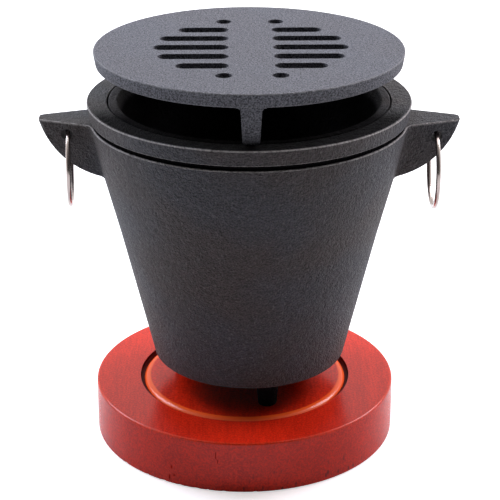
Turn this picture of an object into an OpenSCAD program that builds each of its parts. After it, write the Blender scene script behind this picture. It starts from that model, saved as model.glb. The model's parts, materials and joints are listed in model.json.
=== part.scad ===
// Table-top charcoal brazier: a cast iron pot on a turned wooden base, a collar
// and a fire bowl in its mouth, and a slotted grill plate on three legs on top.
// Millimetres, +Z up. The origin is on the table under the middle of the pot,
// the ears with the carrying rings point along X, and the front is -Y.

/* [Wooden base] */
// Diameter of the turned wooden disc
base_d = 152.4; // [146:0.2:170]
// Thickness of the disc
base_h = 26.9; // [20:0.1:36]
// How far the disc lies off the pot's axis, because the pot is stood on it by hand
base_shift_x = -2.4; // [-3:0.1:3]
// Radius of the eased top edge
base_edge_r = 1.2; // [0.4:0.1:3]
// Outer diameter of the turned groove in the top face
groove_d = 107.4; // [106:0.2:130]
// Width of the groove, from its outer wall to the crown of its inner shoulder
groove_w = 4.7; // [4:0.1:8]
// Depth of the groove below the outer part of the top face
groove_depth = 2.2; // [1.2:0.1:4]
// Width of the flat floor of the groove
groove_floor_w = 1.9; // [1:0.1:2.2]
// How far the inner disc lies below the outer part of the top face
disc_drop = 0.4; // [0.1:0.1:1]

/* [Pot] */
// Outer diameter of the pot at its lip
lip_d = 154.9; // [150:0.1:158]
// Height of the lip above the table
lip_z = 165.8; // [160:0.1:172]
// Outer diameter of the pot at its floor
floor_d = 96; // [90:0.5:104]
// Height of the floor's underside above the table
floor_z = 41.2; // [38:0.1:48]
// Thickness of the pot's wall
pot_wall = 5; // [4:0.1:6]
// Thickness of the pot's floor
pot_floor_t = 5.5; // [4:0.1:8]
// How far the wall swells out below the lip
pot_swell = 0.7; // [0:0.1:1]
// Height where the swell is at its widest
pot_swell_z = 146; // [140:1:150]
// Height where the swell begins
pot_swell_low_z = 110; // [100:1:120]
// Number of air holes in the floor
air_holes = 6; // [3:1:8]
// Diameter of an air hole
air_hole_d = 8; // [5:0.5:10]
// Distance of the air holes from the middle of the floor
air_hole_ring_r = 24; // [20:0.5:26]
// Number of cast feet under the floor
pot_feet = 3; // [3:1:4]
// Distance of the feet from the middle of the floor
foot_ring_r = 35; // [32:0.5:38]
// Diameter of a foot where it leaves the floor
foot_top_d = 12; // [10:0.5:15]
// Diameter of a foot where it stands on the wood
foot_end_d = 9; // [7:0.5:11]
// Direction of the first foot, in degrees from +X
foot_turn = -75; // [-90:1:0]

/* [Ears] */
// Reach of an ear's tip from the middle of the pot
ear_reach = 102.5; // [100:0.1:106]
// Half thickness of an ear close to the pot
ear_root_half = 12.6; // [11:0.1:13]
// Half thickness of an ear at its rounded tip
ear_tip_half = 4.9; // [4:0.1:5.5]
// Radius of the blend from an ear's side face to the pot
ear_blend_r = 7; // [4:0.5:9]
// Height where an ear's lower edge meets the pot
ear_low_z = 139.3; // [135:0.1:143]
// Height of the small end face at an ear's tip
ear_end_h = 0.6; // [0.4:0.1:2.5]
// Sideways place of the control point that bends the lower edge
ear_bend_x = 94.2; // [93:0.1:97]
// Height of the control point that bends the lower edge
ear_bend_z = 142.2; // [141:0.1:147]
// Diameter of the hole through an ear
ear_hole_d = 5.8; // [5.8:0.1:6.6]
// Distance of the left hole from the middle, drilled by hand
left_hole_x = 88.4; // [88:0.1:91.5]
// Height of the left hole's axis
left_hole_z = 159.3; // [157.5:0.1:160]
// Distance of the right hole from the middle, drilled by hand
right_hole_x = 91; // [88:0.1:91.5]
// Height of the right hole's axis
right_hole_z = 158.2; // [157.5:0.1:160]

/* [Collar ring] */
// Outer diameter of the collar's flat top
collar_d = 157.6; // [156.8:0.1:162]
// Height of the collar's flat top
collar_top_z = 175.8; // [174:0.1:178]
// Height of the open groove between the pot's lip and the collar's skirt
lip_gap = 2.2; // [1.5:0.1:3]
// Outer diameter of the seat that stands on the lip
collar_seat_d = 151; // [149:0.1:152]
// Diameter of the bore that takes the fire bowl's flange
collar_bore_d = 137.8; // [136:0.1:139]
// Inner diameter of the ledge under the fire bowl's flange
ledge_d = 130.4; // [129:0.1:132]
// Depth of the spigot inside the pot's mouth
spigot_h = 7.4; // [4:0.1:10]

/* [Fire bowl] */
// Gap between the bowl's flange and the collar's bore
bowl_gap = 0.7; // [0.4:0.1:1]
// Thickness of the flange
flange_t = 4; // [3:0.1:5]
// Diameter of the mouth inside the flange
bowl_mouth_d = 127.6; // [126:0.1:128]
// Inner diameter of the bowl at its floor
bowl_floor_d = 92; // [88:0.5:96]
// Height of the bowl's floor, on which the fire grate lies
bowl_floor_z = 122; // [115:0.5:130]
// Thickness of the bowl's wall and floor
bowl_wall = 3.4; // [3:0.1:4]
// Diameter of the air opening in the bowl's floor
bowl_hole_d = 70; // [60:1:76]

/* [Fire grate] */
// Diameter of the grate
grate_d = 87; // [84:0.5:88]
// Thickness of the grate
grate_t = 4; // [3:0.5:6]
// Number of slots across the grate
grate_slots = 7; // [5:2:9]
// Width of a slot
grate_slot_w = 5; // [4:0.5:6]
// Distance from slot to slot
grate_pitch = 10; // [9:0.5:11]

/* [Grill plate] */
// Diameter of the plate
plate_d = 150; // [140:0.5:152]
// Height of the plate's top face
plate_top_z = 201; // [196:0.5:206]
// Thickness of the plate
plate_t = 6.8; // [5:0.1:8]
// How far the plate's side slopes in, from its top face to its underside
plate_draft = 1.1; // [0:0.1:1.5]
// Radius of the plate's eased edges
plate_edge_r = 0.8; // [0.3:0.1:1.5]
// Width of the slots
slot_w = 8.4; // [6:0.1:9]
// Distance from one row of slots to the next
slot_pitch = 15.3; // [14:0.1:16]
// Half width of the plain band between the left and right slots
band_half = 10.6; // [9:0.1:13]
// Where the middle, next and outer slots end, from the middle
slot_ends = [47, 44.2, 35.4];
// Diameter of the round holes before and behind the slots
plate_hole_d = 7.8; // [6:0.1:8.5]
// Sideways place of the round holes
plate_hole_x = 13; // [11:0.1:16]
// How far the slots and holes sit to the right of the plate's middle
pattern_x = 0.8; // [-2:0.1:2]
// How far they sit behind it
pattern_y = -0.6; // [-2:0.1:2]
// How far the plate stands turned about the vertical
plate_turn = 0.8; // [-4:0.1:4]
// Width of a leg under the plate
leg_top_w = 9.7; // [8:0.1:12]
// Width of a leg at its foot
leg_foot_w = 7.8; // [6:0.1:9]
// How far a leg's outer face leans in, from the plate's edge to the foot
leg_lean = 3; // [1:0.1:4]
// Thickness of a leg under the plate, along the radius
leg_top_t = 9; // [7:0.1:11]
// Thickness of a leg at its foot
leg_foot_t = 6.4; // [5:0.1:8]

/* [Carrying rings] */
// Diameter of the ring's wire
wire_d = 2.4; // [2:0.1:2.6]
// Mean radius of a ring
ring_r = 19.5; // [18:0.1:21]
// How far the left ring hangs turned about the vertical
left_ring_turn = 4; // [-4:0.5:4]
// How far the right ring hangs turned about the vertical
right_ring_turn = 1; // [-4:0.5:4]

/* [Hidden] */
$fn = 96;

// Iron, lacquered wood and nickelled wire, as they look from a step away
iron = "#35353a";
burnt_iron = "#232225";
plate_iron = "#58585e";
red_lacquer = "#8f2a1c";
nickel = "#c9c3bd";

// Slope of the pot's wall: radius gained per millimetre of height
lip_r = lip_d / 2;
wall_slope = (lip_r - floor_d / 2) / (lip_z - floor_z);
wall_lean = atan(wall_slope);
function wall_r(z) = lip_r - (lip_z - z) * wall_slope;

// The wood under the pot, and the rounding of the castings
disc_z = base_h - disc_drop;
cast_r = 0.6;
overlap = 1;

// Underside of the collar's skirt, and the ledge that carries the fire bowl's flange
collar_low_z = lip_z + lip_gap;
ledge_z = collar_top_z - flange_t;

// An ear's hole meets the middle of the wire, which bends within the ear's thickness
ear_taper = (ear_root_half - ear_tip_half) / (ear_reach - lip_r);
function ear_half(x) = ear_root_half - (x - lip_r) * ear_taper;
function wire_sag(x) = ring_r - sqrt(pow(ring_r, 2) - pow(ear_half(x), 2));
function ring_z(hole) = hole[1] - ring_r + wire_sag(hole[0]) / 2;
left_hole = [left_hole_x, left_hole_z];
right_hole = [right_hole_x, right_hole_z];

// --- Outlines -------------------------------------------------------------------

function unit(v) = v / norm(v);

// Points round one corner at v, between its neighbours p and n
function corner(p, v, n, r, steps) =
    r <= 0 ? [v] :
    let (a = unit(p - v), b = unit(n - v),
         half = acos(a * b) / 2,
         c = v + unit(a + b) * r / sin(half),
         from = v + a * r / tan(half) - c,
         to = v + b * r / tan(half) - c,
         a0 = atan2(from[1], from[0]),
         turn = (atan2(to[1], to[0]) - a0 + 540) % 360 - 180)
    [for (i = [0 : steps]) c + r * [cos(a0 + turn * i / steps), sin(a0 + turn * i / steps)]];

// Outline through points [x, y, corner radius], with its corners rounded
function rounded(q, steps = 5) =
    let (n = len(q))
    [for (i = [0 : n - 1])
        let (p = q[(i + n - 1) % n], v = q[i], s = q[(i + 1) % n])
        each corner([p[0], p[1]], [v[0], v[1]], [s[0], s[1]], v[2], steps)];

// Curve from p0 to p2 that leans towards p1
function bend(p0, p1, p2, steps) =
    [for (i = [0 : steps]) let (t = i / steps)
        pow(1 - t, 2) * p0 + 2 * t * (1 - t) * p1 + pow(t, 2) * p2];

// --- Wooden base ----------------------------------------------------------------

module wood_base() {
    r = base_d / 2;
    outer = groove_d / 2;
    crown = outer - groove_w;
    shoulder = groove_w - groove_floor_w;
    rise = groove_depth - disc_drop;
    shoulder_r = (pow(shoulder, 2) + pow(rise, 2)) / (2 * rise);
    low = asin((shoulder_r - rise) / shoulder_r);
    color(red_lacquer) translate([base_shift_x, 0, 0]) rotate_extrude() polygon(concat(
        rounded([[0, 0, 0], [r, 0, 0.8], [r, base_h, base_edge_r],
                 [outer, base_h, 0.3], [outer, base_h - groove_depth, 0.4],
                 [crown + shoulder, base_h - groove_depth, 0]]),
        [for (a = [low : (90 - low) / 6 : 90])
            [crown, disc_z - shoulder_r] + shoulder_r * [cos(a), sin(a)]],
        [[0, disc_z]]));
}

// --- Pot with its ears and feet -------------------------------------------------

// Floor, wall and lip. The wall is a straight cone at first, and swells a little further up.
module pot_shell() {
    top_in = floor_z + pot_floor_t;
    swell_r = 150;
    rotate_extrude() polygon(rounded([
        [0, floor_z, 0], [floor_d / 2, floor_z, 2.5],
        [wall_r(pot_swell_low_z), pot_swell_low_z, swell_r],
        [wall_r(pot_swell_z) + pot_swell, pot_swell_z, swell_r],
        [lip_r, lip_z, cast_r], [lip_r - pot_wall, lip_z, cast_r],
        [wall_r(top_in) - pot_wall, top_in, 5], [0, top_in, 0]]));
}

// Ear seen from above, at the lip: a wedge with a round tip that flares into the pot
function ear_plan() =
    let (a = atan(ear_taper),
         along = [cos(a), -sin(a)], across = [sin(a), cos(a)],
         start = [lip_r, ear_root_half] + across * ear_blend_r,
         b = start * along, c = start * start - pow(lip_r + ear_blend_r, 2),
         middle = start + along * (sqrt(b * b - c) - b),
         side = [for (i = [0 : 7]) let (
                 g0 = atan2(middle[1], middle[0]) + 180, g1 = 270 - a,
                 g = g0 + (g1 - g0) * i / 7)
             middle + ear_blend_r * [cos(g), sin(g)]],
         tip_r = ear_tip_half / cos(a),
         tip = [for (i = [0 : 4]) let (g = 90 - a - (90 - a) * i / 4)
             [ear_reach - tip_r, 0] + tip_r * [cos(g), sin(g)]],
         half = concat([[lip_r - pot_wall + 1.5, side[0][1]]], side, tip))
    concat(half, [for (i = [len(half) - 2 : -1 : 0]) [half[i][0], -half[i][1]]]);

// Ear seen from the front: flat top, belly below, small fillet where it meets the pot
function ear_front() =
    let (sunk = 1.2, root_r = 1.5,
         root = [wall_r(ear_low_z), ear_low_z],
         belly = bend([ear_reach, lip_z - ear_end_h], [ear_bend_x, ear_bend_z], root, 12),
         low = ear_low_z - 3.5,
         fillet = corner(belly[11], root - [sunk, 0], [wall_r(low) - sunk, low], root_r, 5))
    concat([[lip_r - pot_wall + 1.5, lip_z], [ear_reach, lip_z]],
           [for (i = [0 : 11]) belly[i]], fillet,
           [[wall_r(low) - sunk, low], [wall_r(low) - sunk - 1.5, low]]);

module ear(hole) {
    depth = lip_z - ear_low_z + 30;
    difference() {
        intersection() {
            translate([lip_r, 0, lip_z]) rotate([0, wall_lean, 0])
                translate([-lip_r, 0, -depth + 10]) linear_extrude(depth) polygon(ear_plan());
            rotate([90, 0, 0]) linear_extrude(2 * lip_r, center = true) polygon(ear_front());
        }
        ear_hole(hole);
    }
}

module ear_hole(hole) {
    translate([hole[0], 0, hole[1]]) rotate([90, 0, 0])
        cylinder(d = ear_hole_d, h = 4 * ear_root_half, center = true);
}

module pot_foot() {
    translate([foot_ring_r, 0, disc_z])
        cylinder(d1 = foot_end_d, d2 = foot_top_d, h = floor_z - disc_z + overlap);
}

module pot() {
    color(iron) difference() {
        union() {
            pot_shell();
            ear(right_hole);
            mirror([1, 0, 0]) ear(left_hole);
            for (i = [0 : pot_feet - 1])
                rotate(foot_turn + i * 360 / pot_feet) pot_foot();
        }
        for (i = [0 : air_holes - 1])
            rotate(i * 360 / air_holes) translate([air_hole_ring_r, 0, floor_z - overlap])
                cylinder(d = air_hole_d, h = pot_floor_t + 2 * overlap);
    }
}

// --- Collar ring ----------------------------------------------------------------

module collar_ring() {
    spigot_gap = 0.5;
    spigot_t = 2.6;
    low = lip_z - spigot_h;
    function spigot_r(z) = wall_r(z) - pot_wall - spigot_gap;
    color(iron) rotate_extrude() polygon(rounded([
        [collar_bore_d / 2, collar_top_z, 0.4], [collar_bore_d / 2, ledge_z, 0.4],
        [ledge_d / 2, ledge_z, 0.4], [ledge_d / 2, ledge_z - 3.4, 0.4],
        [spigot_r(low) - spigot_t, lip_z, 1], [spigot_r(low) - spigot_t, low, 0.8],
        [spigot_r(low), low, 0.8], [spigot_r(lip_z), lip_z, 0],
        [collar_seat_d / 2, lip_z, 0], [collar_seat_d / 2, collar_low_z, 0.4],
        [lip_r + 0.1, collar_low_z, cast_r], [collar_d / 2, collar_top_z, 1]]));
}

// --- Fire bowl and fire grate ---------------------------------------------------

module fire_bowl() {
    flange_r = collar_bore_d / 2 - bowl_gap;
    mouth_r = bowl_mouth_d / 2;
    floor_r = bowl_floor_d / 2;
    neck_r = ledge_d / 2 - 0.6;
    inner_neck_r = neck_r - bowl_wall;
    color(burnt_iron) rotate_extrude() polygon(rounded([
        [mouth_r, collar_top_z, 1.6], [inner_neck_r, ledge_z - 4, 6],
        [floor_r, bowl_floor_z, 2], [bowl_hole_d / 2, bowl_floor_z, 0.8],
        [bowl_hole_d / 2, bowl_floor_z - bowl_wall, 0.8],
        [floor_r + bowl_wall * 0.6, bowl_floor_z - bowl_wall, 8],
        [neck_r, ledge_z - 4, 2], [neck_r, ledge_z, 0],
        [flange_r, ledge_z, 0.4], [flange_r, collar_top_z, 0.6]]));
}

module fire_grate() {
    r = grate_d / 2;
    border = 7;
    reach = (grate_slots - 1) / 2;
    color(burnt_iron) difference() {
        translate([0, 0, bowl_floor_z]) rotate_extrude()
            polygon(rounded([[0, 0, 0], [r, 0, 0.6], [r, grate_t, 0.6], [0, grate_t, 0]]));
        for (i = [-reach : reach])
            slot(i * grate_pitch, sqrt(pow(r - border, 2) - pow(i * grate_pitch, 2)) - grate_slot_w / 2);
    }
    module slot(y, half) {
        for (x = [-half, half]) translate([x, y, bowl_floor_z - overlap])
            cylinder(d = grate_slot_w, h = grate_t + 2 * overlap);
        translate([-half, y - grate_slot_w / 2, bowl_floor_z - overlap])
            cube([2 * half, grate_slot_w, grate_t + 2 * overlap]);
    }
}

// --- Grill plate ----------------------------------------------------------------

// Slot from x = a to x = b with round ends, through the plate
module plate_slot(a, b, y) {
    low = plate_top_z - plate_t - overlap;
    h = plate_t + 2 * overlap;
    for (x = [a + slot_w / 2, b - slot_w / 2]) translate([x, y, low]) cylinder(d = slot_w, h = h);
    translate([a + slot_w / 2, y - slot_w / 2, low]) cube([b - a - slot_w, slot_w, h]);
}

// Leg along +X: its side view across its front view, both tapered, round at the foot
module plate_leg() {
    top = plate_top_z - plate_t + overlap;
    under = plate_top_z - plate_t;
    r = plate_d / 2;
    inset = 0.2;
    low_r = r - plate_draft - inset;
    flare = 2;
    side = rounded([[low_r, top, 0], [low_r, under, 0],
                    [r - leg_lean, collar_top_z, 2.5],
                    [r - leg_lean - leg_foot_t, collar_top_z, 1],
                    [r - leg_top_t, under, flare],
                    [r - leg_top_t - flare, under, 0], [r - leg_top_t - flare, top, 0]]);
    front = rounded([[leg_top_w / 2 + flare, top, 0], [leg_top_w / 2 + flare, under, 0],
                     [leg_top_w / 2, under, flare], [leg_foot_w / 2, collar_top_z, 2.5],
                     [-leg_foot_w / 2, collar_top_z, 2.5], [-leg_top_w / 2, under, flare],
                     [-leg_top_w / 2 - flare, under, 0], [-leg_top_w / 2 - flare, top, 0]]);
    intersection() {
        rotate([90, 0, 0]) linear_extrude(2 * leg_top_w, center = true) polygon(side);
        rotate([90, 0, 90]) linear_extrude(plate_d) polygon(front);
    }
}

module grill_plate() {
    r = plate_d / 2;
    low = plate_top_z - plate_t;
    color(plate_iron) rotate(plate_turn) union() {
        difference() {
            rotate_extrude() polygon(rounded([
                [0, low, 0], [r - plate_draft, low, plate_edge_r], [r, plate_top_z, plate_edge_r],
                [0, plate_top_z, 0]]));
            translate([pattern_x, pattern_y, 0]) for (side = [-1, 1]) {
                for (row = [-2 : 2])
                    if (side > 0) plate_slot(band_half, slot_ends[abs(row)], row * slot_pitch);
                    else plate_slot(-slot_ends[abs(row)], -band_half, row * slot_pitch);
                for (y = [-3, 3]) translate([side * plate_hole_x, y * slot_pitch, low - overlap])
                    cylinder(d = plate_hole_d, h = plate_t + 2 * overlap);
            }
        }
        for (a = [-90, 30, 150]) rotate(a) plate_leg();
    }
}

// --- Carrying rings -------------------------------------------------------------

module wire_ring(side, hole, turn) {
    color(nickel) translate([side * hole[0], 0, ring_z(hole)])
        rotate(turn) rotate([0, 90, 0]) rotate_extrude()
            translate([ring_r, 0]) circle(d = wire_d, $fn = 32);
}

module left_ring() {
    wire_ring(-1, left_hole, left_ring_turn);
}

module right_ring() {
    wire_ring(1, right_hole, right_ring_turn);
}

wood_base();
pot();
collar_ring();
fire_bowl();
fire_grate();
grill_plate();
left_ring();
right_ring();
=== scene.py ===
"""A table-top charcoal brazier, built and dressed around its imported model.

A cast iron pot with two ringed ears stands on a turned wooden base. A collar, a fire bowl
with its grate, and a slotted grill plate on three legs sit in and on its mouth. Each of
these pieces is modelled here in millimetres and laid down in metres, in the frame's own
place, and rides on the frame's body of that piece.
"""

import json
import logging
import math
from dataclasses import dataclass
from enum import Enum
from typing import Callable

import bmesh
import bpy
from mathutils import Matrix, Vector


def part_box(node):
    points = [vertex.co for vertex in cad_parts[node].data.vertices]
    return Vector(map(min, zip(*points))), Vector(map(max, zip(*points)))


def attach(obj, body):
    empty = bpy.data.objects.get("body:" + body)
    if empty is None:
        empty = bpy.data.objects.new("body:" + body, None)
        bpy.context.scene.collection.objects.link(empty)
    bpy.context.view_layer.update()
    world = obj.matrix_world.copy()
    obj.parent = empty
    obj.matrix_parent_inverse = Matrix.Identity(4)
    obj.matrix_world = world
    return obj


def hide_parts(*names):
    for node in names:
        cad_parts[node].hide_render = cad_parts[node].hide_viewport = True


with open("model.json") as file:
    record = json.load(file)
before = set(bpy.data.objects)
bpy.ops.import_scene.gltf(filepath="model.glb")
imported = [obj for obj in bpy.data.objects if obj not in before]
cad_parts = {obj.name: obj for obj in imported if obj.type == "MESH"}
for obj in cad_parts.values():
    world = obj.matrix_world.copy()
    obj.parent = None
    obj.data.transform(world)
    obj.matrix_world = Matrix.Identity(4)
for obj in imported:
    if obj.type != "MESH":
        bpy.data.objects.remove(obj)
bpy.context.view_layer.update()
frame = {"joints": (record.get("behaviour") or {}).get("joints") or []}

LOG = logging.getLogger("brazier")

MM = 0.001          # metres in a millimetre
WELD = 0.002        # vertices closer than this, in millimetres, are one
SPARE = 1.0         # millimetres that a cutter reaches past what it cuts
TURN_STEPS = 192    # faces round a turned piece
WEAR_SOOT_AND_PAINTED_LIGHT = "wear"       # name of the attribute from -1 to 1: above 0 worn finish and painted highlights, below 0 soot and painted shade

COLOUR_MIX = {"data_type": "RGBA"}                  # settings of a Mix node for colours
UNDER, OVER, MIXED = 6, 7, 2                        # its two colour inputs and its colour output
SOFT_STEP = {"interpolation_type": "SMOOTHSTEP"}    # settings of a Map Range node with soft ends

Shape = bmesh.types.BMesh
Tree = bpy.types.NodeTree
Node = bpy.types.Node
Socket = bpy.types.NodeSocket
WearRule = Callable[[Vector], float | None]


# --- Drawing and cutting ----------------------------------------------------------------


class Plane(Enum):
    """The plane that an outline is drawn on."""

    FRONT = "across and up"
    TOP = "across and back"

    def point(self, u: float, v: float) -> Vector:
        """Returns the point of an outline's coordinates u and v."""
        return Vector((u, 0, v)) if self is Plane.FRONT else Vector((u, v, 0))

    def depth(self) -> Vector:
        """Returns the direction square to the plane."""
        return Vector((0, 1, 0)) if self is Plane.FRONT else Vector((0, 0, 1))


class Cut(Enum):
    """What is done to a solid with another one."""

    JOIN = "UNION"
    REMOVE = "DIFFERENCE"
    CROSS = "INTERSECT"


class Side(Enum):
    """The left or the right ear, seen from the front."""

    LEFT = -1
    RIGHT = 1


@dataclass(frozen=True)
class Corner:
    """A corner of an outline, in millimetres, and the radius and steps that round it."""

    u: float
    v: float
    radius: float = 0.0
    steps: int = 4


def arc(middle: Vector, radius: float, start: float, end: float, steps: int) -> list[Corner]:
    """Draws a round stretch of an outline.

    Args:
        middle: the arc's centre, in millimetres.
        radius: its radius.
        start: the angle that it starts at, in radians.
        end: the angle that it ends at.
        steps: how many straight pieces it has.

    Returns:
        Its points, as corners that need no rounding.
    """
    angles = (start + (end - start) * i / steps for i in range(steps + 1))
    return [Corner(middle.x + radius * math.cos(a), middle.y + radius * math.sin(a)) for a in angles]


def draw_outline(corners: list[Corner], plane: Plane, closed: bool) -> Shape:
    """Draws an outline as bare edges and rounds its corners.

    Args:
        corners: the outline's corners in order.
        plane: the plane that it lies on.
        closed: whether the last corner joins the first one.

    Returns:
        A new mesh that holds the edges.
    """
    bm = bmesh.new()
    verts = [bm.verts.new(plane.point(c.u, c.v)) for c in corners]
    for start, end in zip(verts, verts[1:] + (verts[:1] if closed else [])):
        bm.edges.new((start, end))
    for corner, vert in zip(corners, verts):
        if corner.radius > 0:
            arms = [(edge.other_vert(vert).co - vert.co) for edge in vert.link_edges]
            reach = corner.radius / math.tan(arms[0].angle(arms[1]) / 2)
            bmesh.ops.bevel(bm, geom=[vert], offset=reach, offset_type="OFFSET", segments=corner.steps,
                            profile=0.5, affect="VERTICES", clamp_overlap=False, material=-1)
    return bm


def turned(profile: list[Corner], closed: bool = False, steps: int = TURN_STEPS) -> Shape:
    """Turns a profile about the upright axis, as on a lathe.

    Args:
        profile: half of the section, with u as the radius and v as the height. An open one
            starts and ends on the axis.
        closed: whether the profile goes round a hollow in the middle.
        steps: faces round the piece.

    Returns:
        A closed solid in millimetres.
    """
    return spun(draw_outline(profile, Plane.FRONT, closed), Vector((0, 0, 1)), steps)


def spun(bm: Shape, axis: Vector, steps: int) -> Shape:
    """Turns edges once round an axis through the origin, and closes the solid that they sweep."""
    bmesh.ops.spin(bm, geom=bm.verts[:] + bm.edges[:], cent=(0, 0, 0), axis=axis, dvec=(0, 0, 0),
                   angle=math.tau, steps=steps, use_merge=True, use_duplicate=False)
    return closed_up(bm)


def turn(bm: Shape, degrees: float) -> None:
    """Turns a mesh about the upright axis."""
    bmesh.ops.rotate(bm, cent=(0, 0, 0), matrix=Matrix.Rotation(math.radians(degrees), 3, "Z"),
                     verts=bm.verts[:])


def on_circle(radius: float, degrees: float, z: float) -> Vector:
    """Returns the point at a radius, so many degrees round from the right and at a height."""
    angle = math.radians(degrees)
    return Vector((math.cos(angle), math.sin(angle), 0)) * radius + Vector((0, 0, z))


def slab(outline: list[Corner], plane: Plane, depth: float, offset: float) -> Shape:
    """Cuts an outline out of a sheet.

    Args:
        outline: the closed outline.
        plane: the plane that it lies on.
        depth: the sheet's thickness.
        offset: how far the sheet's first face lies along the plane's direction.

    Returns:
        A closed solid in millimetres.
    """
    bm = draw_outline(outline, plane, True)
    bmesh.ops.contextual_create(bm, geom=bm.edges[:])
    bmesh.ops.translate(bm, vec=plane.depth() * offset, verts=bm.verts[:])
    grown = bmesh.ops.extrude_face_region(bm, geom=bm.faces[:])
    moved = [item for item in grown["geom"] if isinstance(item, bmesh.types.BMVert)]
    bmesh.ops.translate(bm, vec=plane.depth() * depth, verts=moved)
    return closed_up(bm)


def rod(start: Vector, end: Vector, start_d: float, end_d: float, sides: int = 48) -> Shape:
    """Makes a straight or tapered round rod between two points.

    Args:
        start: the middle of its first end, in millimetres.
        end: the middle of its other end.
        start_d: its diameter at the first end.
        end_d: its diameter at the other end.
        sides: faces round it.

    Returns:
        A closed solid.
    """
    bm = bmesh.new()
    along = end - start
    facing = along.to_track_quat("Z", "Y").to_matrix().to_4x4()
    bmesh.ops.create_cone(bm, cap_ends=True, segments=sides, radius1=start_d / 2, radius2=end_d / 2,
                          depth=along.length, matrix=Matrix.Translation((start + end) / 2) @ facing)
    return bm


def closed_up(bm: Shape) -> Shape:
    """Merges the doubles of a solid and turns its faces outwards.

    Args:
        bm: the solid.

    Returns:
        The same solid.
    """
    bmesh.ops.remove_doubles(bm, verts=bm.verts[:], dist=WELD)
    bmesh.ops.recalc_face_normals(bm, faces=bm.faces[:])
    return bm


def gathered(solids: list[Shape]) -> Shape:
    """Moves separate solids into one mesh.

    Args:
        solids: the solids, which are freed.

    Returns:
        The mesh that holds them all.
    """
    bm = bmesh.new()
    for solid in solids:
        mesh = bpy.data.meshes.new("part")
        solid.to_mesh(mesh)
        solid.free()
        bm.from_mesh(mesh)
        bpy.data.meshes.remove(mesh)
    return bm


def combined(target: Shape, tool: Shape, cut: Cut) -> Shape:
    """Joins, cuts or crosses one solid with another, and frees both.

    Args:
        target: the solid that is worked on.
        tool: the solid that it is worked with.
        cut: what is done.

    Returns:
        The new solid.
    """
    blanks = []
    for solid in (target, tool):
        mesh = bpy.data.meshes.new("blank")
        solid.to_mesh(mesh)
        solid.free()
        blanks.append(bpy.data.objects.new("blank", mesh))
        bpy.context.scene.collection.objects.link(blanks[-1])
    cutter = blanks[0].modifiers.new("cut", "BOOLEAN")
    cutter.operation = cut.value
    cutter.solver = "EXACT"
    cutter.object = blanks[1]
    worked = blanks[0].evaluated_get(bpy.context.evaluated_depsgraph_get())
    bm = bmesh.new()
    bm.from_mesh(worked.to_mesh())
    worked.to_mesh_clear()
    for blank in blanks:
        bpy.data.meshes.remove(blank.data)
    bmesh.ops.remove_doubles(bm, verts=bm.verts[:], dist=WELD)
    bmesh.ops.dissolve_degenerate(bm, dist=WELD, edges=bm.edges[:])
    return bm


def ease_edges(bm: Shape, width: float, steps: int = 3, least: float = 50,
               where: Callable[[Vector], bool] = lambda place: True) -> None:
    """Rounds the sharp edges of a solid.

    Args:
        bm: the solid.
        width: the width of the rounding, in millimetres.
        steps: its steps.
        least: the least angle, in degrees, at which an edge counts as sharp.
        where: says whether an edge with that midpoint is rounded.
    """
    sharp = [edge for edge in bm.edges
             if len(edge.link_faces) == 2
             and edge.calc_face_angle() > math.radians(least)
             and where((edge.verts[0].co + edge.verts[1].co) / 2)]
    bmesh.ops.bevel(bm, geom=sharp, offset=width, offset_type="OFFSET", segments=steps, profile=0.5,
                    affect="EDGES", clamp_overlap=True, material=-1)


def mark_wear(bm: Shape, rule: WearRule) -> None:
    """Writes on each vertex the wear, soot, painted light and painted shade of the finish, from -1 to 1.

    Args:
        bm: the finished solid, in millimetres.
        rule: gives the wear at a place, or None where it is how tightly the surface bulges.
    """
    flat, tight = 0.35, 1.5     # bends in radians per millimetre that count as 0 and as 1
    layer = bm.verts.layers.float.new(WEAR_SOOT_AND_PAINTED_LIGHT)
    for edge in bm.edges:
        length = edge.calc_length()
        if len(edge.link_faces) != 2 or length < WELD:
            continue
        spread = sum(face.calc_area() for face in edge.link_faces) / (2 * length)
        bend = edge.calc_face_angle_signed() / max(spread, WELD)
        share = min(1.0, max(0.0, (bend - flat) / (tight - flat)))
        for vert in edge.verts:
            vert[layer] = max(vert[layer], share)
    for vert in bm.verts:
        fixed = rule(vert.co)
        if fixed is not None:
            vert[layer] = fixed


def lay_down(name: str, bm: Shape, finish: "Finish", body: str, node: str,
             rule: WearRule = lambda place: None) -> None:
    """Makes a finished solid a piece of the scene that stands for its node.

    Args:
        name: the piece's name.
        bm: the solid, in millimetres, which is freed.
        finish: the finish that it gets.
        body: the body that it rides on.
        node: the node that it replaces.
        rule: gives the wear, soot, painted light and painted shade at a place, where its shape doesn't say.
    """
    sharp_angle = 38            # degrees between faces that are shaded apart
    mark_wear(bm, rule)
    bmesh.ops.scale(bm, vec=(MM, MM, MM), verts=bm.verts[:])
    mesh = bpy.data.meshes.new(name)
    bm.to_mesh(mesh)
    bm.free()
    mesh.shade_smooth()
    mesh.set_sharp_from_angle(angle=math.radians(sharp_angle))
    mesh.materials.append(finish.material())
    piece = bpy.data.objects.new(name, mesh)
    bpy.context.scene.collection.objects.link(piece)
    even = piece.modifiers.new("even_shading", "WEIGHTED_NORMAL")
    even.keep_sharp = True
    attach(piece, body)
    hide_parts(node)
    LOG.info("%s: %d faces on body %s, for node %s", name, len(mesh.polygons), body, node)


def painted_front_shade(place: Vector) -> float | None:
    """Returns the painted shade of the grill plate on a face near the fire, in the soot colour: down to -1
    at the front, or None where there is none.
    """
    black = 38.0                # millimetres in front of the middle from which it is black
    return -min(1.0, max(0.0, -place.y / black)) or None


def node_box(node: str) -> tuple[Vector, Vector]:
    """Returns the lowest and highest corner of a frame node in millimetres."""
    low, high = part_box(node)
    return low / MM, high / MM


# --- Finishes ---------------------------------------------------------------------------


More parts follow.
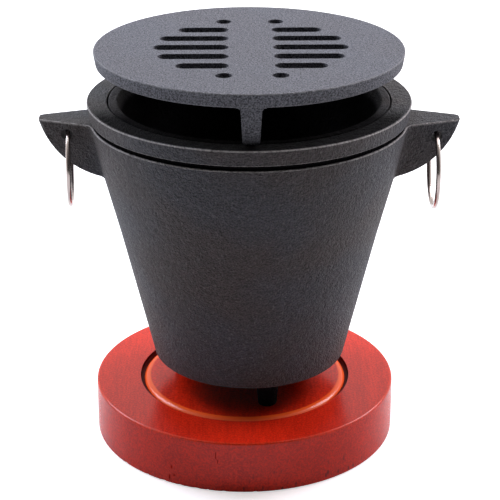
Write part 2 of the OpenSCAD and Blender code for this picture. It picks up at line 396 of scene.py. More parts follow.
def colour(code: str) -> tuple[float, float, float, float]:
    """Turns a colour's sRGB hex code to linear light.

    Args:
        code: the code, such as '#7a8b9c'.

    Returns:
        Its linear red, green and blue, and an alpha of 1.
    """
    parts = [int(code[i:i + 2], 16) / 255 for i in (1, 3, 5)]
    linear = [c / 12.92 if c <= 0.04045 else ((c + 0.055) / 1.055) ** 2.4 for c in parts]
    return (*linear, 1.0)


def per_metre(size: float) -> float:
    """Returns a texture scale whose features are about size millimetres wide."""
    return 1 / (size * MM)


def add_node(tree: Tree, kind: str, settings: dict | None = None, links: dict | None = None) -> Node:
    """Adds one node with its settings and links.

    Args:
        tree: the node tree.
        kind: the node's type.
        settings: values of its properties and of its inputs, by name or number.
        links: the outputs that feed its inputs, by the input's name or number.

    Returns:
        The node.
    """
    node = tree.nodes.new(kind)
    for key, value in (settings or {}).items():
        if isinstance(key, int) or key in node.inputs:
            node.inputs[key].default_value = value
        else:
            setattr(node, key, value)
    for key, output in (links or {}).items():
        tree.links.new(output, node.inputs[key])
    return node


@dataclass(frozen=True)
class Finish:
    """What a surface is made of: the name of its material and the record's slot for it."""

    name: str
    slot: str

    def material(self) -> bpy.types.Material:
        """Makes the finish's material the first time it is asked for.

        Returns:
            The material.
        """
        made = bpy.data.materials.get(self.name)
        if made is None:
            made = bpy.data.materials.new(self.name)
            made.use_nodes = True
            made.node_tree.nodes.clear()
            shader = self.shade(made.node_tree)
            add_node(made.node_tree, "ShaderNodeOutputMaterial", links={"Surface": shader.outputs[0]})
        return made

    def shade(self, tree: Tree) -> Node:
        """Builds the finish's nodes and returns its shader."""
        raise NotImplementedError


@dataclass(frozen=True)
class CastIron(Finish):
    """Grey iron cast in sand, under a thin matt heat-proof black.

    The sand leaves a pebbled skin, so the black never lies even: each grain catches its own
    light, the tone goes from cool to warm over a hand's width, and the edges are rubbed
    through to lighter iron. The same lighter colour paints glints on the highest grains and a
    highlight along the ears' worn top edges. Soot is darker than the black, with hardly any
    gloss, and the same dark colour paints shade where a piece marks it. The grain is drawn
    coarser than real moulding sand, which is 0.2 mm, so that it shows from a step away.
    """

    cool: str = "#38383e"
    warm: str = "#3a3333"
    # colour of iron rubbed bare, also of the painted glints and highlights
    bare: str = "#b3adab"
    # colour of soot, also of painted shade
    soot_and_shade: str = "#161517"
    patch: float = 55.0         # millimetres across a cooler or warmer patch
    pebble: float = 3.0         # millimetres across a pebble of the skin
    grain: float = 0.8          # millimetres across a grain of the sand
    flake: float = 1.6          # millimetres across a gap in a worn edge
    tip: float = 1.0            # millimetres across a grain that gets a painted glint
    relief: float = 3.0         # millimetres of bump for the whole range of the pebbles' pattern
    speckle: float = 0.5        # how much lighter and darker the grains are
    roughness: float = 0.56
    gloss: float = 0.4
    sooty_gloss: float = 0.05   # share of the gloss that is left under soot and painted shade
    worn: float = 1.0           # how far the edges are rubbed bare
    painted_glints: float = 0.1         # how strong the painted glints on the highest grains are

    def shade(self, tree: Tree) -> Node:
        """Builds the iron's nodes.

        Args:
            tree: the material's nodes.

        Returns:
            The shader.
        """
        place = add_node(tree, "ShaderNodeTexCoord").outputs["Object"]
        wear = add_node(tree, "ShaderNodeAttribute", {"attribute_name": WEAR_SOOT_AND_PAINTED_LIGHT}).outputs["Fac"]
        pebbles = add_node(tree, "ShaderNodeTexNoise",
                           {"Scale": per_metre(self.pebble), "Detail": 3.0, "Roughness": 0.6},
                           {"Vector": place}).outputs[0]
        grains = add_node(tree, "ShaderNodeTexNoise",
                          {"Scale": per_metre(self.grain), "Detail": 1.0, "Roughness": 0.5},
                          {"Vector": place}).outputs[0]
        # Below 0 the wear attribute marks soot and painted shade, which get the soot colour and lose their
        # gloss.
        soot_and_shade_share = add_node(tree, "ShaderNodeMapRange", SOFT_STEP | {"From Min": -0.2, "From Max": -0.9},
                         {"Value": wear}).outputs[0]
        soot_and_shade_tone = add_node(tree, "ShaderNodeMix", COLOUR_MIX | {OVER: colour(self.soot_and_shade)},
                          {"Factor": soot_and_shade_share, UNDER: self.tone(tree, place, grains)}).outputs[MIXED]
        # Worn edges, painted highlights and painted glints get the bare iron's colour.
        shown = add_node(tree, "ShaderNodeMix", COLOUR_MIX | {OVER: colour(self.bare)},
                         {"Factor": self.rubbed(tree, place, wear), UNDER: soot_and_shade_tone}).outputs[MIXED]
        lost = (1 - self.sooty_gloss) * self.gloss
        shine = add_node(tree, "ShaderNodeMath", {"operation": "MULTIPLY_ADD", 1: -lost, 2: self.gloss},
                         {0: soot_and_shade_share}).outputs[0]
        sheen = add_node(tree, "ShaderNodeMath",
                         {"operation": "MULTIPLY_ADD", 1: 0.22, 2: self.roughness - 0.11},
                         {0: pebbles}).outputs[0]
        skin = add_node(tree, "ShaderNodeMath", {"operation": "MULTIPLY_ADD", 1: 0.7},
                        {0: grains, 2: pebbles}).outputs[0]
        bump = add_node(tree, "ShaderNodeBump", {"Strength": 1.0, "Distance": self.relief * MM},
                        {"Height": skin}).outputs[0]
        return add_node(tree, "ShaderNodeBsdfPrincipled",
                        links={"Base Color": shown, "Roughness": sheen, "Specular IOR Level": shine,
                               "Normal": bump})

    def tone(self, tree: Tree, place: Socket, grains: Socket) -> Socket:
        """Builds the colour of the black where it is whole, from cool to warm and speckled.

        Args:
            tree: the material's nodes.
            place: the object coordinates.
            grains: the pattern of the sand's grains.

        Returns:
            The output with the colour.
        """
        patches = add_node(tree, "ShaderNodeTexNoise", {"Scale": per_metre(self.patch), "Detail": 2.0},
                           {"Vector": place}).outputs[0]
        warmth = add_node(tree, "ShaderNodeMapRange", SOFT_STEP | {"From Min": 0.38, "From Max": 0.62},
                          {"Value": patches}).outputs[0]
        even = add_node(tree, "ShaderNodeMix",
                        COLOUR_MIX | {UNDER: colour(self.cool), OVER: colour(self.warm)},
                        {"Factor": warmth}).outputs[MIXED]
        light = add_node(tree, "ShaderNodeMapRange",
                         {"From Min": 0.34, "From Max": 0.66,
                          "To Min": 1 - self.speckle, "To Max": 1 + self.speckle},
                         {"Value": grains}).outputs[0]
        return add_node(tree, "ShaderNodeMix", COLOUR_MIX | {"blend_type": "MULTIPLY", "Factor": 1.0},
                        {UNDER: even, OVER: light}).outputs[MIXED]

    def rubbed(self, tree: Tree, place: Socket, wear: Socket) -> Socket:
        """Builds the mask of rubbed and highlighted edges and of painted glints on the high grains.

        Args:
            tree: the material's nodes.
            place: the object coordinates.
            wear: the wear that is written on the vertices.

        Returns:
            The output that is 1 where the bare iron's colour shows, for wear and for painted glints and
            highlights.
        """
        flakes = add_node(tree, "ShaderNodeTexNoise", {"Scale": per_metre(self.flake), "Detail": 3.0},
                          {"Vector": place}).outputs[0]
        broken = add_node(tree, "ShaderNodeMapRange", {"From Min": 0.3, "From Max": 0.65, "To Min": 0.45},
                          {"Value": flakes}).outputs[0]
        edges = add_node(tree, "ShaderNodeMath", {"operation": "MULTIPLY"},
                         {0: wear, 1: broken}).outputs[0]
        bared = add_node(tree, "ShaderNodeMath", {"operation": "MULTIPLY", 1: self.worn, "use_clamp": True},
                         {0: edges}).outputs[0]
        # Painted glints on the highest grains, kept off soot.
        glint_noise = add_node(tree, "ShaderNodeTexNoise", {"Scale": per_metre(self.tip), "Detail": 0.0},
                        {"Vector": place}).outputs[0]
        high = add_node(tree, "ShaderNodeMapRange", SOFT_STEP | {"From Min": 0.66, "From Max": 0.76},
                        {"Value": glint_noise}).outputs[0]
        clean = add_node(tree, "ShaderNodeMapRange", SOFT_STEP | {"From Min": -0.5, "From Max": 0.0},
                         {"Value": wear}).outputs[0]
        painted_glint_mask = add_node(tree, "ShaderNodeMath", {"operation": "MULTIPLY"},
                             {0: high, 1: clean}).outputs[0]
        return add_node(tree, "ShaderNodeMath",
                        {"operation": "MULTIPLY_ADD", 1: self.painted_glints, "use_clamp": True},
                        {0: painted_glint_mask, 2: bared}).outputs[0]


@dataclass(frozen=True)
class LacqueredWood(Finish):
    """A plank of open-grained hardwood, turned, stained red and lacquered in satin.

    The stain pools in the pores and the groove, where it also paints the groove's shade, and
    is thin on turned edges, whose lighter colour also paints the light on the shoulder and a
    highlight on the rim. The grain runs from front to back, so the sides show long fibres and
    the front shows end grain with short pores under the lacquer.
    """

    light: str = "#e22c13"
    dark: str = "#b41e0d"
    # colour of thin stain, also of the painted light on the shoulder and the highlight on the rim
    thin: str = "#ff5f26"
    # colour of the pores and of pooled stain, also of the painted shade in the groove
    pore: str = "#5a0c06"
    fibre: float = 1.1          # millimetres across a fibre
    band: float = 8.8           # millimetres across a band of fibres of one tone
    run: float = 12.0           # how many times longer than wide the fibres are
    dot: float = 0.9            # millimetres across a dot of the end grain
    pore_gap: float = 2.4       # millimetres from one pore to the next
    crowd: float = 14.0         # millimetres across a place where pores crowd together
    pores_top: float = 25.0     # height up to which the pores are open, in millimetres
    ripple: float = 1.4         # millimetres across a ripple of the lacquer

    def shade(self, tree: Tree) -> Node:
        """Builds the wood's nodes.

        Args:
            tree: the material's nodes.

        Returns:
            The shader.
        """
        place = add_node(tree, "ShaderNodeTexCoord").outputs["Object"]
        wear = add_node(tree, "ShaderNodeAttribute", {"attribute_name": WEAR_SOOT_AND_PAINTED_LIGHT}).outputs["Fac"]
        grain = add_node(tree, "ShaderNodeMapping", {"Scale": (1.0, 1 / self.run, 0.7)},
                         {"Vector": place}).outputs[0]
        fibres = add_node(tree, "ShaderNodeTexNoise",
                          {"Scale": per_metre(self.fibre), "Detail": 2.0, "Roughness": 0.6},
                          {"Vector": grain}).outputs[0]
        pores = self.pores(tree, place, grain)
        stained = add_node(tree, "ShaderNodeMix", COLOUR_MIX | {OVER: colour(self.pore)},
                           {"Factor": pores, UNDER: self.tone(tree, place, grain, fibres)}).outputs[MIXED]
        # Below 0 the wear attribute marks pooled stain, which also paints the groove's shade and takes most
        # of the lacquer's gloss.
        deep = add_node(tree, "ShaderNodeMapRange", SOFT_STEP | {"From Min": 0.0, "From Max": -1.0},
                        {"Value": wear}).outputs[0]
        pooled = add_node(tree, "ShaderNodeMix", COLOUR_MIX | {OVER: colour(self.pore)},
                          {"Factor": deep, UNDER: stained}).outputs[MIXED]
        # Above 0 it marks thin stain, which also paints the light on the shoulder and the rim.
        shown = add_node(tree, "ShaderNodeMix", COLOUR_MIX | {OVER: colour(self.thin)},
                         {"Factor": wear, UNDER: pooled}).outputs[MIXED]
        lacquer = add_node(tree, "ShaderNodeMath", {"operation": "MULTIPLY_ADD", 1: -0.85, 2: 1.0},
                           {0: deep}).outputs[0]
        height = add_node(tree, "ShaderNodeMath", {"operation": "MULTIPLY_ADD", 1: -1.2},
                          {0: pores, 2: fibres}).outputs[0]
        bump = add_node(tree, "ShaderNodeBump", {"Strength": 0.6, "Distance": 0.05 * MM},
                        {"Height": height}).outputs[0]
        ripples = add_node(tree, "ShaderNodeTexNoise", {"Scale": per_metre(self.ripple), "Detail": 2.0},
                           {"Vector": place}).outputs[0]
        coat_bump = add_node(tree, "ShaderNodeBump", {"Strength": 0.5, "Distance": 0.03 * MM},
                             {"Height": ripples}).outputs[0]
        return add_node(tree, "ShaderNodeBsdfPrincipled",
                        {"Roughness": 0.5, "Specular IOR Level": 0.0, "Coat Roughness": 0.22,
                         "Coat IOR": 1.35},
                        {"Base Color": shown, "Normal": bump, "Coat Weight": lacquer,
                         "Coat Normal": coat_bump})

    def tone(self, tree: Tree, place: Socket, grain: Socket, fibres: Socket) -> Socket:
        """Builds the colour of the stained wood between its pores.

        Args:
            tree: the material's nodes.
            place: the object coordinates.
            grain: the coordinates that are stretched along the fibres.
            fibres: the pattern of the fibres.

        Returns:
            The output with the colour.
        """
        bands = add_node(tree, "ShaderNodeTexNoise",
                         {"Scale": per_metre(self.band), "Detail": 4.0, "Roughness": 0.6},
                         {"Vector": grain}).outputs[0]
        dots = add_node(tree, "ShaderNodeTexNoise", {"Scale": per_metre(self.dot), "Detail": 1.0},
                        {"Vector": place}).outputs[0]
        banded = add_node(tree, "ShaderNodeMath", {"operation": "ADD"}, {0: fibres, 1: bands}).outputs[0]
        dotted = add_node(tree, "ShaderNodeMath", {"operation": "MULTIPLY_ADD", 1: 0.45},
                          {0: banded, 2: dots}).outputs[0]
        share = add_node(tree, "ShaderNodeMapRange", SOFT_STEP | {"From Min": 0.65, "From Max": 1.25},
                         {"Value": dotted}).outputs[0]
        return add_node(tree, "ShaderNodeMix",
                        COLOUR_MIX | {UNDER: colour(self.dark), OVER: colour(self.light)},
                        {"Factor": share}).outputs[MIXED]

    def pores(self, tree: Tree, place: Socket, grain: Socket) -> Socket:
        """Builds the mask of the dark pores, which crowd together and are open low on the side.

        Args:
            tree: the material's nodes.
            place: the object coordinates.
            grain: the coordinates that are stretched along the fibres.

        Returns:
            The output that is 1 inside a pore.
        """
        upright = add_node(tree, "ShaderNodeMapping", {"Scale": (1.0, 1.0, 0.5)},
                           {"Vector": grain}).outputs[0]
        cells = add_node(tree, "ShaderNodeTexVoronoi", {"Scale": per_metre(self.pore_gap)},
                         {"Vector": upright}).outputs["Distance"]
        inside = add_node(tree, "ShaderNodeMapRange", SOFT_STEP | {"From Min": 0.26, "From Max": 0.12},
                          {"Value": cells}).outputs[0]
        crowds = add_node(tree, "ShaderNodeTexNoise", {"Scale": per_metre(self.crowd), "Detail": 1.0},
                          {"Vector": grain}).outputs[0]
        share = add_node(tree, "ShaderNodeMapRange", SOFT_STEP | {"From Min": 0.46, "From Max": 0.66},
                         {"Value": crowds}).outputs[0]
        crowded = add_node(tree, "ShaderNodeMath", {"operation": "MULTIPLY"},
                           {0: inside, 1: share}).outputs[0]
        height = add_node(tree, "ShaderNodeSeparateXYZ", links={"Vector": place}).outputs["Z"]
        side = add_node(tree, "ShaderNodeMapRange",
                        SOFT_STEP | {"From Min": self.pores_top * MM, "From Max": 0.0},
                        {"Value": height}).outputs[0]
        return add_node(tree, "ShaderNodeMath", {"operation": "MULTIPLY"},
                        {0: crowded, 1: side}).outputs[0]


@dataclass(frozen=True)
class NickelledWire(Finish):
    """Drawn steel wire, bent to a ring and nickel plated: bright, with fine scratches.

    The scratches are drawn as scuffs that are wider than real ones, so that they show.
    """

    plate: str = "#bfb2ac"
    scuff: float = 1.2          # millimetres across a scuff

    def shade(self, tree: Tree) -> Node:
        """Builds the plating's nodes.

        Args:
            tree: the material's nodes.

        Returns:
            The shader.
        """
        place = add_node(tree, "ShaderNodeTexCoord").outputs["Object"]
        scuffs = add_node(tree, "ShaderNodeTexNoise", {"Scale": per_metre(self.scuff), "Detail": 4.0},
                          {"Vector": place}).outputs[0]
        rough = add_node(tree, "ShaderNodeMapRange", {"To Min": 0.10, "To Max": 0.34},
                         {"Value": scuffs}).outputs[0]
        bump = add_node(tree, "ShaderNodeBump", {"Strength": 0.3, "Distance": 0.01 * MM},
                        {"Height": scuffs}).outputs[0]
        return add_node(tree, "ShaderNodeBsdfPrincipled",
                        {"Base Color": colour(self.plate), "Metallic": 1.0},
                        {"Roughness": rough, "Normal": bump})


POT_IRON = CastIron("sand_cast_iron", "cast_iron")
PLATE_IRON = CastIron("sand_cast_plate_iron", "plate_iron", cool="#5f6067", warm="#5e5e64", bare="#a9a8aa",
                      soot_and_shade="#0b0b0c", pebble=1.7, grain=0.7, relief=0.9, speckle=0.65, roughness=0.62,
                      gloss=0.2, worn=0.4)
BURNT_IRON = CastIron("sooty_cast_iron", "burnt_iron", cool="#353538", warm="#363130", bare="#8d8a88",
                      soot_and_shade="#121112", relief=1.8, roughness=0.7, gloss=0.2, worn=0.3)
RED_WOOD = LacqueredWood("red_lacquered_hardwood", "lacquered_wood")
BRIGHT_NICKEL = NickelledWire("bright_nickel_plate", "nickelled_wire")


# --- Pieces -----------------------------------------------------------------------------


@dataclass(frozen=True)
class Chip:
    """A bite out of the base's side, with its sizes in millimetres."""

    angle: float                # degrees round from the right
    z: float
    half_w: float
    half_h: float


# The chips are along the lower edge, and the small checks are above it.
CHIPS = [Chip(219, 0.1, 1.8, 1.0), Chip(231, 0.2, 1.2, 0.9), Chip(238.5, 0.1, 1.9, 1.1),
         Chip(245.5, 0.2, 1.3, 0.9), Chip(252, 0.1, 2.0, 1.1), Chip(256.5, 0.0, 1.0, 1.3),
         Chip(262.5, 0.1, 1.4, 1.0), Chip(274, 0.1, 1.6, 0.9)]
CHECKS = [Chip(241.4, 3.4, 0.5, 1.8), Chip(243.3, 5.0, 0.4, 0.9), Chip(242.4, 9.2, 0.4, 1.0),
          Chip(259.6, 19.6, 0.3, 2.2), Chip(260.3, 16.4, 0.25, 1.2)]


@dataclass
class TurnedBase:
    """The wooden disc under the pot, with a groove turned in its top face."""

    groove_d: float = 107.4
    groove_w: float = 4.7
    groove_depth: float = 2.2
    groove_floor_w: float = 1.9
    disc_drop: float = 0.4
    disc_fade: float = 0.8      # width over which the shoulder's thin stain and painted light fade into the disc
    edge_r: float = 1.2
    foot_r: float = 0.8
    bite_depth: float = 1.0

    def profile(self) -> list[Corner]:
        """Draws half of the disc's section.

        Returns:
            Its corners, from the middle of its underside to the middle of its top.
        """
        low, high = node_box("wood_base")
        radius = (high.x - low.x) / 2
        outer, crown = self.groove_d / 2, self.groove_d / 2 - self.groove_w
        floor_z, disc_z = high.z - self.groove_depth, high.z - self.disc_drop
        shoulder, rise = self.groove_w - self.groove_floor_w, disc_z - floor_z
        shoulder_r = (shoulder ** 2 + rise ** 2) / (2 * rise)
        foot = math.asin((shoulder_r - rise) / shoulder_r)
        return [Corner(0, 0), Corner(radius, 0, self.foot_r), Corner(radius, high.z - 2 * self.edge_r),
                Corner(radius, high.z, self.edge_r, 6), Corner(radius - 2 * self.edge_r, high.z),
                Corner(outer, high.z, 0.3), Corner(outer, floor_z, 0.4),
                *arc(Vector((crown, disc_z - shoulder_r)), shoulder_r, foot, math.pi / 2, 8),
                Corner(crown - self.disc_fade, disc_z), Corner(crown / 2, disc_z), Corner(0, disc_z)]

    def bites(self) -> Shape:
        """Makes the cutter of the chips in the lower edge and the small checks above it.

        Returns:
            One round solid for each chip and check, in one mesh.
        """
        low, high = node_box("wood_base")
        radius = (high.x - low.x) / 2
        solids = []
        for chip in CHIPS + CHECKS:
            bm = bmesh.new()
            bmesh.ops.create_icosphere(bm, subdivisions=2, radius=1)
            bmesh.ops.scale(bm, vec=(self.bite_depth, chip.half_w, chip.half_h), verts=bm.verts[:])
            bmesh.ops.translate(bm, vec=(radius, 0, chip.z), verts=bm.verts[:])
            turn(bm, chip.angle)
            solids.append(bm)
        return gathered(solids)

    def stain(self, axis: Vector, top_z: float) -> WearRule:
        """Says where the stain is thin, which also paints light and a highlight, and where it has pooled,
        which also paints shade.

        Args:
            axis: the middle of the disc, in millimetres.
            top_z: the height of its top face.

        Returns:
            The rule: above 0 on the shoulder and the rim, for thin stain and painted light, and below 0 in
                the groove, for pooled stain and painted shade.
        """
        crown = self.groove_d / 2 - self.groove_w
        foot = self.groove_d / 2 - self.groove_floor_w
        shoulder, rim, pool_and_shade, lip = 1.0, 0.12, -0.9, 0.2

        def rule(place: Vector) -> float:
            """Returns how thin or deep the stain is at a place, which also paints light and shade there."""
            across = math.hypot(place.x - axis.x, place.y - axis.y)
            # In the groove, the pooled stain also paints the groove's shade.
            if foot - WELD < across < self.groove_d / 2 + WELD and place.z < top_z - lip:
                return pool_and_shade
            # On the shoulder the thin stain also paints its light.
            if crown - WELD < across < foot:
                return shoulder
            # On the turned top edge a little thin stain also paints a highlight.
            turned_edge = top_z - self.edge_r < place.z < top_z - WELD
            return rim if turned_edge and across > foot + self.groove_w else 0.0

        return rule

    def build(self) -> None:
        """Turns the disc, chips its lower edge and lays it down."""
        low, high = node_box("wood_base")
        axis = (low + high) / 2
        disc = combined(turned(self.profile()), self.bites(), Cut.REMOVE)
        bmesh.ops.translate(disc, vec=(axis.x, axis.y, 0), verts=disc.verts[:])
        lay_down("turned_base", disc, RED_WOOD, "base", "wood_base", self.stain(axis, high.z))


@dataclass
class Ear:
    """One cast ear of the pot: a wedge with a round tip and a bellied underside."""

    lip_r: float
    lip_z: float
    wall: float
    slope: float                # how far the pot's wall leans out for each millimetre up
    reach: float = 102.5
    root_half: float = 12.6
    tip_half: float = 4.9
    blend_r: float = 7.0
    low_z: float = 139.3
    end_h: float = 0.6
    bend_x: float = 94.2
    bend_z: float = 142.2
    root_r: float = 1.5
    root_drop: float = 3.5      # height of the foot that is sunk in the wall
    root_flat: float = 1.5      # width of that foot's underside
    cover: float = 1.5          # thickness of the wall between the root and the pot's hollow
    sunk: float = 1.2
    edge: float = 0.6
    sharp: float = 40.0         # least angle, in degrees, at which an edge is rounded
    blank_above: float = 10.0   # how far the blank wedge reaches past the ear, above
    blank_below: float = 20.0   # and below

    def wall_r(self, z: float) -> float:
        """Returns the pot's outer radius at a height."""
        return self.lip_r - (self.lip_z - z) * self.slope

    def inner_x(self) -> float:
        """Returns how near the pot's axis the ear's root starts, inside the wall."""
        return self.lip_r - self.wall + self.cover

    def plan(self) -> list[Corner]:
        """Draws the ear from above, flaring into the pot on both sides.

        Returns:
            The outline's corners.
        """
        taper = math.atan((self.root_half - self.tip_half) / (self.reach - self.lip_r))
        along = Vector((math.cos(taper), -math.sin(taper)))
        across = Vector((math.sin(taper), math.cos(taper)))
        start = Vector((self.lip_r, self.root_half)) + across * self.blend_r
        back = start.dot(along)
        far = start.dot(start) - (self.lip_r + self.blend_r) ** 2
        middle = start + along * (math.sqrt(back * back - far) - back)
        root = math.atan2(middle.y, middle.x) + math.pi
        flare = arc(middle, self.blend_r, root, 1.5 * math.pi - taper, 10)
        tip_r = self.tip_half / math.cos(taper)
        tip = arc(Vector((self.reach - tip_r, 0)), tip_r, math.pi / 2 - taper, 0, 8)
        half = [Corner(self.inner_x(), flare[0].v), *flare, *tip]
        return half + [Corner(c.u, -c.v) for c in reversed(half[:-1])]

    def front(self) -> list[Corner]:
        """Draws the ear from the front: a flat top, a belly and a root fillet.

        Returns:
            The outline's corners.
        """
        steps = 14
        ends = [Vector((self.reach, self.lip_z - self.end_h)), Vector((self.bend_x, self.bend_z)),
                Vector((self.wall_r(self.low_z), self.low_z))]
        shares = [i / steps for i in range(steps)]
        belly = [(1 - t) ** 2 * ends[0] + 2 * t * (1 - t) * ends[1] + t ** 2 * ends[2] for t in shares]
        root_z = self.low_z - self.root_drop
        root_x = self.wall_r(root_z) - self.sunk
        return [Corner(self.inner_x(), self.lip_z), Corner(self.reach, self.lip_z),
                *[Corner(p.x, p.y) for p in belly],
                Corner(ends[2].x - self.sunk, self.low_z, self.root_r), Corner(root_x, root_z),
                Corner(root_x - self.root_flat, root_z)]

    def solid(self, side: Side) -> Shape:
        """Builds the ear without its hole.

        Args:
            side: the side of the pot that it is on.

        Returns:
            A closed solid in millimetres.
        """
        depth = self.blank_above + self.lip_z - self.low_z + self.blank_below
        wedge = slab(self.plan(), Plane.TOP, depth, self.low_z - self.blank_below)
        bmesh.ops.rotate(wedge, cent=(self.lip_r, 0, self.lip_z),
                         matrix=Matrix.Rotation(math.atan(self.slope), 3, "Y"), verts=wedge.verts[:])
        ear = combined(wedge, slab(self.front(), Plane.FRONT, 2 * self.lip_r, -self.lip_r), Cut.CROSS)
        ease_edges(ear, self.edge, least=self.sharp, where=lambda place: place.z > self.lip_z - WELD)
        ease_edges(ear, self.edge, least=self.sharp, where=lambda place: place.z < self.lip_z - 2)
        # A cut line under the top edges keeps their wear and painted highlight off the rest of the ear.
        bmesh.ops.bisect_plane(ear, geom=ear.verts[:] + ear.edges[:] + ear.faces[:], dist=WELD,
                               plane_co=(0, 0, self.lip_z - 2 * self.edge), plane_no=(0, 0, 1))
        if side is Side.LEFT:
            bmesh.ops.scale(ear, vec=(-1, 1, 1), verts=ear.verts[:])
        return closed_up(ear)


@dataclass
class Pot:
    """The tapered iron pot, cast in one with its two ears and three feet."""

    wall: float = 5.0
    floor_z: float = 41.2
    floor_d: float = 96.0
    floor_t: float = 5.5
    lip_d: float = 154.9
    lip_edge: float = 1.1       # width of the lip's outer edge that no soot covers
    swell: float = 0.7
    swell_z: float = 146.0
    swell_low_z: float = 110.0
    swell_r: float = 150.0
    air_holes: int = 6
    air_hole_d: float = 8.0
    air_ring_r: float = 24.0
    feet: int = 3
    foot_ring_r: float = 35.0
    foot_top_d: float = 12.0
    foot_end_d: float = 9.0
    foot_turn: float = -75.0
    foot_edge: float = 0.8
    foot_bedded: float = 1.0    # how far a foot reaches into the floor
    ear_hole_d: float = 5.8
    ear_bore_half: float = 20.0

    def slope(self, lip_z: float) -> float:
        """Returns how far the wall leans out for each millimetre up."""
        return (self.lip_d / 2 - self.floor_d / 2) / (lip_z - self.floor_z)

    def shell(self, lip_z: float) -> Shape:
        """Turns the pot's round wall and floor.

        Args:
            lip_z: the height of the lip.

        Returns:
            A closed solid in millimetres.
        """
        lip_r, inside, slope = self.lip_d / 2, self.floor_z + self.floor_t, self.slope(lip_z)
        inner_r = lip_r - (lip_z - inside) * slope - self.wall
        return turned([
            Corner(0, self.floor_z), Corner(self.floor_d / 2, self.floor_z, 2.5, 6),
            Corner(lip_r - (lip_z - self.swell_low_z) * slope, self.swell_low_z, self.swell_r, 6),
            Corner(lip_r - (lip_z - self.swell_z) * slope + self.swell, self.swell_z, self.swell_r, 8),
            Corner(lip_r, lip_z, 0.6), Corner(lip_r - self.lip_edge, lip_z),
            Corner(lip_r - self.wall, lip_z, 0.6), Corner(inner_r, inside, 5, 8), Corner(0, inside)])

    def foot(self, index: int, disc_z: float) -> Shape:
        """Makes one cast foot under the floor.

        Args:
            index: its number, counted round from the first.
            disc_z: the height of the base's disc, which it stands on.

        Returns:
            A closed solid in millimetres.
        """
        degrees = self.foot_turn + index * 360 / self.feet
        foot = rod(on_circle(self.foot_ring_r, degrees, disc_z),
                   on_circle(self.foot_ring_r, degrees, self.floor_z + self.foot_bedded),
                   self.foot_end_d, self.foot_top_d)
        ease_edges(foot, self.foot_edge, where=lambda place: place.z < disc_z + 1)
        return foot

    def vents(self) -> Shape:
        """Makes the drills of the air holes in the floor.

        Returns:
            One round solid for each hole, in one mesh.
        """
        low_z, high_z = self.floor_z - SPARE, self.floor_z + self.floor_t + SPARE
        turns = [i * 360 / self.air_holes for i in range(self.air_holes)]
        return gathered([rod(on_circle(self.air_ring_r, degrees, low_z),
                             on_circle(self.air_ring_r, degrees, high_z),
                             self.air_hole_d, self.air_hole_d) for degrees in turns])

    def ear_bore(self, side: Side) -> Shape:
        """Makes the drill for the hole of one ear, on the axis of its ring's joint.

        Args:
            side: the side that the ear is on.

        Returns:
            A closed solid in millimetres.
        """
        joint = next(j for j in frame["joints"] if j["name"] == f"{side.name.lower()}_ring_swing")
        axle = Vector(joint["pos_m"]) / MM
        half = Vector((0, self.ear_bore_half, 0))
        return rod(axle - half, axle + half, self.ear_hole_d, self.ear_hole_d)

    def soot_and_shade(self, lip_z: float, ear_edge: float) -> WearRule:
        """Says where the pot is sooty, where shade is painted under it, and where its ears are worn and
        carry a painted highlight.

        Args:
            lip_z: the height of the lip.
            ear_edge: the width of the rounding along the ears' top edges.

        Returns:
            The rule: -1 inside, underneath and on the lip, where underneath the black also paints the shade
                that hides the feet, and 1 on the ears' top edges, for wear and a painted highlight.
        """
        lip_r, slope = self.lip_d / 2, self.slope(lip_z)
        beyond, skin, rim = 2.0, 3.0, 1.0       # millimetres outside or inside the outer face
        lip_band, floor_band = 0.2, 0.3         # millimetres from the lip and from the floor

        def rule(place: Vector) -> float | None:
            """Returns how worn or sooty the pot is at a place, with its painted light and shade."""
            across = math.hypot(place.x, place.y)
            # The ears' top edges are worn, and their light colour also paints a highlight.
            if across > lip_r + beyond and lip_z - ear_edge < place.z < lip_z - WELD:
                return 1.0
            on_lip = place.z > lip_z - lip_band and across < lip_r - rim
            inside = place.z > self.floor_z + 1 and across < lip_r - (lip_z - place.z) * slope - skin
            # Underneath, the soot also paints the shade that hides the feet.
            return -1.0 if on_lip or inside or place.z < self.floor_z + floor_band else None

        return rule

    def build(self) -> None:
        """Casts the pot, drills its holes and lays it down."""
        low, high = node_box("pot")
        ear = Ear(self.lip_d / 2, high.z, self.wall, self.slope(high.z))
        pot = self.shell(high.z)
        for side in Side:
            pot = combined(pot, ear.solid(side), Cut.JOIN)
        pot = combined(pot, gathered([self.foot(i, low.z) for i in range(self.feet)]), Cut.JOIN)
        pot = combined(pot, self.vents(), Cut.REMOVE)
        pot = combined(pot, gathered([self.ear_bore(side) for side in Side]), Cut.REMOVE)
        lay_down("pot_casting", pot, POT_IRON, "pot", "pot", self.soot_and_shade(high.z, ear.edge))


